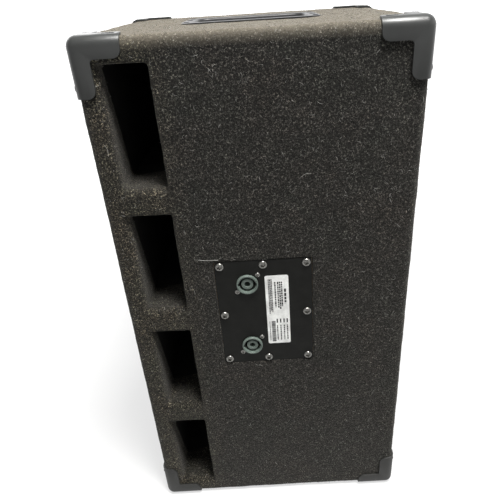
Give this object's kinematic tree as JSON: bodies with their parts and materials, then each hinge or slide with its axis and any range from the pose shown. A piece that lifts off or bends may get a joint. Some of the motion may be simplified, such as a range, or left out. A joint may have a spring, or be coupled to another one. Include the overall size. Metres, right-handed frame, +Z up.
{
  "type": "bass loudspeaker cabinet",
  "caption": "Tall carpet-covered loudspeaker box with corner protectors, slotted rear port, connector plate, end handles and grille.",
  "frame": {"origin": "under the middle of the bounding box, on the surface that the cabinet stands on", "axes": "+Z up along the cabinet's long side, +Y towards the grille, -Y towards the connector plate, -X towards the port slots and the rubber feet"},
  "size_m": [0.3518, 0.333, 0.65],
  "materials": {
    "boards": "plywood, painted black where it shows in the port",
    "carpet": "charcoal needle-felt carpet, matt and fuzzy",
    "corner_plastic": "satin dark grey moulding",
    "plate_paint": "black powder coat",
    "screws": "bright plated steel",
    "socket_plastic": "pale grey-green moulding",
    "label": "white printed film, left without words",
    "handle_plastic": "black moulding, semi-gloss",
    "foot_rubber": "black rubber",
    "grille_steel": "perforated steel, black powder coat",
    "grille_frame": "black painted battens",
    "wadding": "off-white felt",
    "lead_sleeve": "red and black twin lead",
    "basket_steel": "black stove enamel",
    "magnet": "bare ferrite",
    "motor_steel": "passivated steel",
    "surround_rubber": "soft matt roll",
    "spider_cloth": "resin-dipped cloth",
    "cone_paper": "black pressed paper",
    "coil_copper": "copper winding on a former"
  },
  "bodies": {
    "cabinet": {"end_panel_upper": "boards", "end_panel_lower": "boards", "port_side_panel": "boards", "plain_side_panel": "boards", "rear_panel": "boards", "front_baffle": "boards", "port_shelf": "boards", "port_divider_1": "boards", "port_divider_2": "boards", "port_divider_3": "boards", "cross_brace": "boards", "carpet_wrap": "carpet", "corner_protector_lower_rear_port": "corner_plastic", "corner_protector_lower_rear_plain": "corner_plastic", "corner_protector_lower_front_port": "corner_plastic", "corner_protector_lower_front_plain": "corner_plastic", "corner_protector_upper_rear_port": "corner_plastic", "corner_protector_upper_rear_plain": "corner_plastic", "corner_protector_upper_front_port": "corner_plastic", "corner_protector_upper_front_plain": "corner_plastic", "connector_plate": "plate_paint", "connector_plate_screw_1": "screws", "connector_plate_screw_2": "screws", "connector_plate_screw_3": "screws", "connector_plate_screw_4": "screws", "connector_plate_screw_5": "screws", "connector_plate_screw_6": "screws", "connector_plate_screw_7": "screws", "connector_plate_screw_8": "screws", "socket_upper": "socket_plastic", "socket_lower": "socket_plastic", "rating_label": "label", "basket_upper": "basket_steel", "magnet_upper": "magnet", "back_plate_upper": "motor_steel", "surround_upper": "surround_rubber", "spider_upper": "spider_cloth", "basket_lower": "basket_steel", "magnet_lower": "magnet", "back_plate_lower": "motor_steel", "surround_lower": "surround_rubber", "spider_lower": "spider_cloth", "lead_between_sockets": "lead_sleeve", "lead_upper": "lead_sleeve", "lead_lower": "lead_sleeve", "wadding": "wadding", "grille": "grille_steel", "grille_frame": "grille_frame", "handle_cup_upper": "handle_plastic", "handle_cup_lower": "handle_plastic", "rubber_foot_lower_rear": "foot_rubber", "rubber_foot_lower_front": "foot_rubber", "rubber_foot_upper_rear": "foot_rubber", "rubber_foot_upper_front": "foot_rubber"},
    "cone_assembly_upper": {"cone_upper": "cone_paper", "dust_cap_upper": "cone_paper", "voice_coil_upper": "coil_copper"},
    "cone_assembly_lower": {"cone_lower": "cone_paper", "dust_cap_lower": "cone_paper", "voice_coil_lower": "coil_copper"}
  },
  "joints": [
    {"name": "cone_travel_upper", "type": "slide", "parent": "cabinet", "child": "cone_assembly_upper", "axis": [0, 1, 0], "range_m": [-0.005, 0.005], "stiffness_N_per_m": 4000, "deforming": ["surround_upper", "spider_upper"]},
    {"name": "cone_travel_lower", "type": "slide", "parent": "cabinet", "child": "cone_assembly_lower", "axis": [0, 1, 0], "range_m": [-0.005, 0.005], "stiffness_N_per_m": 4000, "deforming": ["surround_lower", "spider_lower"]}
  ]
}
